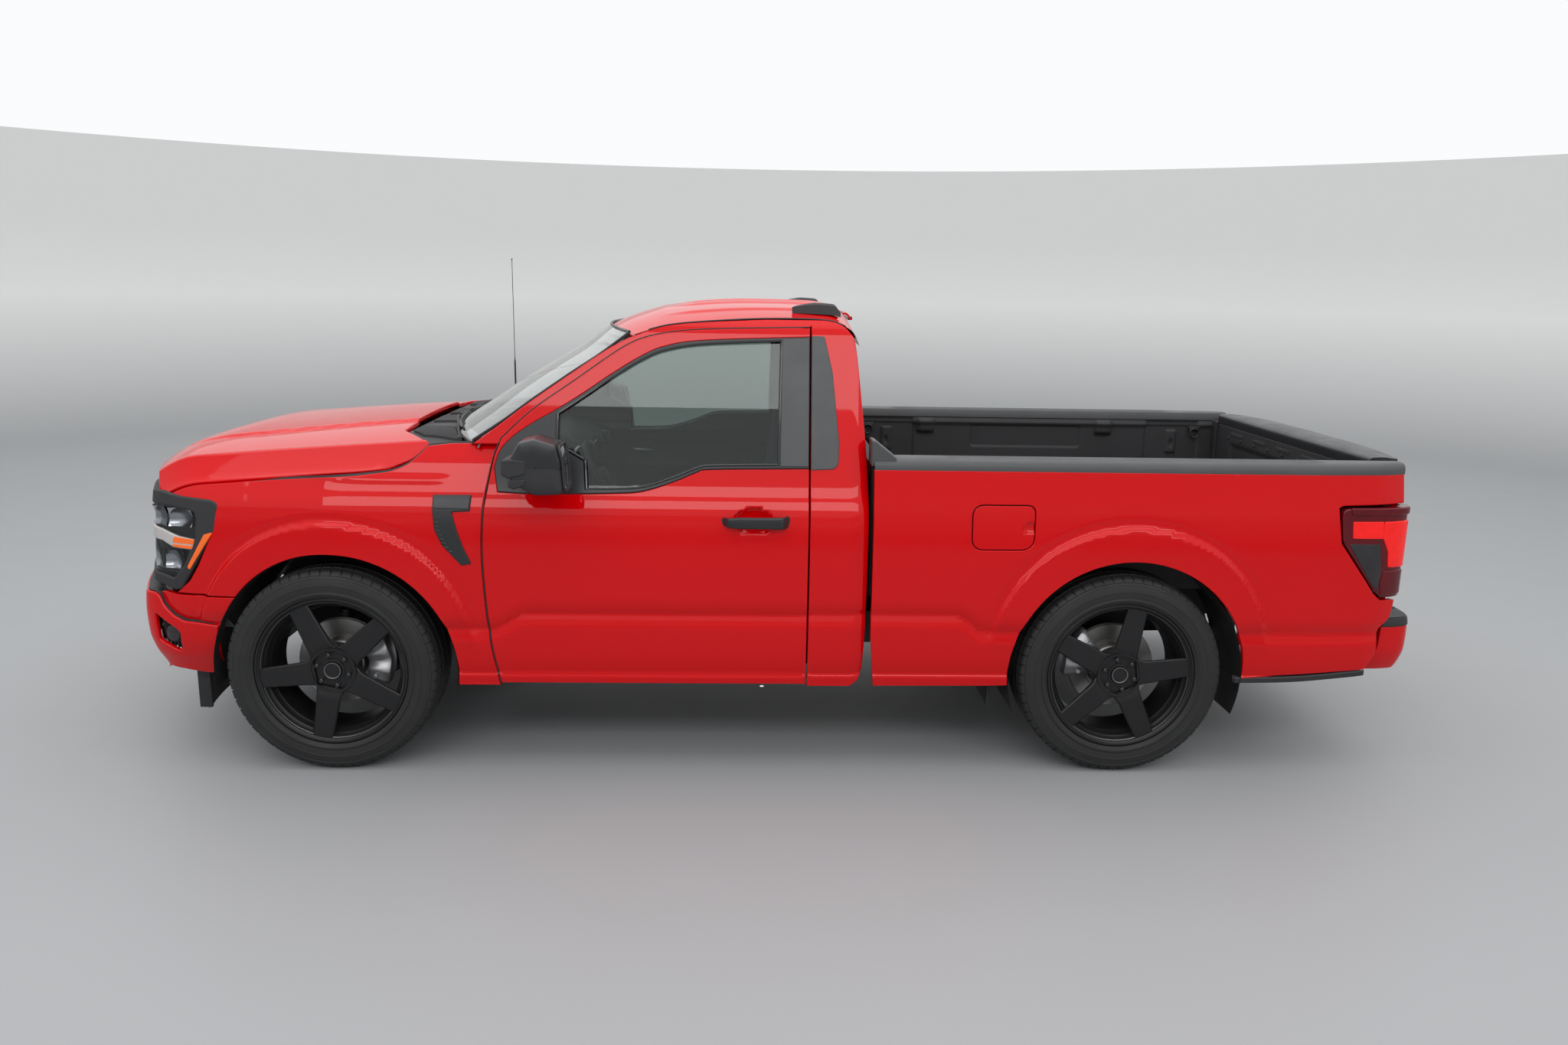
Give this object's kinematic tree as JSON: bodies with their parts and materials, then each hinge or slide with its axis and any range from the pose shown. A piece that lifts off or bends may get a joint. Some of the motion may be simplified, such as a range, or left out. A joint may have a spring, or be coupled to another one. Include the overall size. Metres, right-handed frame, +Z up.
{
  "type": "pickup truck",
  "caption": "Regular-cab short-bed pickup truck, lowered on five-spoke wheels, with opening doors, hood, tailgate and fuel door.",
  "frame": {"origin": "on the ground under the middle of the vehicle's length and width", "axes": "+X forward, +Y to the left-hand side, +Z up"},
  "size_m": [5.311, 2.43, 2.02],
  "materials": {
    "paint": "gloss clear-coated red",
    "black_frame": "satin black chassis paint",
    "cast": "cast metal",
    "aluminium": "bare aluminium",
    "steel": "brushed stainless steel",
    "black_plastic": "grained black plastic",
    "bedliner": "sprayed textured bed coating",
    "glass": "clear laminated glass",
    "tinted_glass": "tinted glass",
    "lamp": "clear lamp lens over a black housing",
    "tail_lamp": "red and smoked lamp lens",
    "seat_cloth": "woven dark grey cloth",
    "interior": "soft grained dark plastic",
    "carpet": "black carpet and painted pan",
    "rubber": "black tyre rubber",
    "rim": "satin black alloy"
  },
  "bodies": {
    "truck": {"frame_rails": "black_frame", "engine_block": "cast", "driveline": "aluminium", "rear_axle": "black_frame", "leaf_springs": "black_frame", "fuel_tank": "black_plastic", "exhaust": "steel", "front_suspension": "black_frame", "radiator_support": "black_frame", "cab_floor": "carpet", "cab_sides": "paint", "cab_back": "paint", "roof": "paint", "cab_glass": "glass", "cowl_panel": "black_plastic", "dashboard": "interior", "seat": "seat_cloth", "antenna": "black_plastic", "fenders": "paint", "wheel_liners": "black_plastic", "grille": "black_plastic", "front_bumper": "paint", "air_dam": "black_plastic", "headlights": "lamp", "bed_box": "bedliner", "bed_sides": "paint", "rail_caps": "black_plastic", "taillights": "tail_lamp", "rear_bumper": "paint"},
    "door_left": {"door_left": "paint", "door_glass_left": "tinted_glass", "mirror_left": "black_plastic"},
    "door_right": {"door_right": "paint", "door_glass_right": "tinted_glass", "mirror_right": "black_plastic"},
    "hood": {"hood": "paint"},
    "tailgate": {"tailgate": "paint"},
    "fuel_door": {"fuel_door": "paint"},
    "knuckle_left": {"knuckle_left": "cast"},
    "knuckle_right": {"knuckle_right": "cast"},
    "front_left_wheel": {"tyre_front_left": "rubber", "wheel_front_left": "rim"},
    "front_right_wheel": {"tyre_front_right": "rubber", "wheel_front_right": "rim"},
    "rear_left_wheel": {"tyre_rear_left": "rubber", "wheel_rear_left": "rim"},
    "rear_right_wheel": {"tyre_rear_right": "rubber", "wheel_rear_right": "rim"},
    "steering_wheel": {"steering_wheel": "interior"}
  },
  "joints": [
    {"name": "steer_left", "type": "hinge", "parent": "truck", "child": "knuckle_left", "pos_m": [1.7005, 0.7875, 0.41], "axis": [0, 0, 1], "range_deg": [-32, 32]},
    {"name": "steer_right", "type": "hinge", "parent": "truck", "child": "knuckle_right", "pos_m": [1.7005, -0.7875, 0.41], "axis": [0, 0, 1], "range_deg": [-32, 32]},
    {"name": "steering_wheel_turn", "type": "hinge", "parent": "truck", "child": "steering_wheel", "pos_m": [0.6945, 0.37, 1.075], "axis": [-0.8829, 0, 0.4695], "range_deg": [-448, 448]},
    {"name": "roll_front_left", "type": "hinge", "parent": "knuckle_left", "child": "front_left_wheel", "pos_m": [1.7005, 0.8575, 0.41], "axis": [0, 1, 0], "continuous": true},
    {"name": "roll_front_right", "type": "hinge", "parent": "knuckle_right", "child": "front_right_wheel", "pos_m": [1.7005, -0.8575, 0.41], "axis": [0, 1, 0], "continuous": true},
    {"name": "roll_rear_left", "type": "hinge", "parent": "truck", "child": "rear_left_wheel", "pos_m": [-1.4185, 0.8575, 0.41], "axis": [0, 1, 0], "continuous": true},
    {"name": "roll_rear_right", "type": "hinge", "parent": "truck", "child": "rear_right_wheel", "pos_m": [-1.4185, -0.8575, 0.41], "axis": [0, 1, 0], "continuous": true},
    {"name": "door_left_swing", "type": "hinge", "parent": "truck", "child": "door_left", "pos_m": [1.095, 1.001, 0.9], "axis": [0, 0, -1], "range_deg": [0, 65]},
    {"name": "door_right_swing", "type": "hinge", "parent": "truck", "child": "door_right", "pos_m": [1.095, -1.001, 0.9], "axis": [0, 0, 1], "range_deg": [0, 65]},
    {"name": "hood_lift", "type": "hinge", "parent": "truck", "child": "hood", "pos_m": [1.3265, 0, 1.29], "axis": [0, -1, 0], "range_deg": [0, 48]},
    {"name": "tailgate_drop", "type": "hinge", "parent": "truck", "child": "tailgate", "pos_m": [-2.4815, 0, 0.737], "axis": [0, -1, 0], "range_deg": [0, 90]},
    {"name": "fuel_door_swing", "type": "hinge", "parent": "truck", "child": "fuel_door", "pos_m": [-0.791, 0.9982, 1.01], "axis": [0, 0, -1], "range_deg": [0, 90]}
  ],
  "couplings": [
    {"joint": "steer_right", "follows": "steer_left", "ratio": 1},
    {"joint": "steering_wheel_turn", "follows": "steer_left", "ratio": 14}
  ]
}
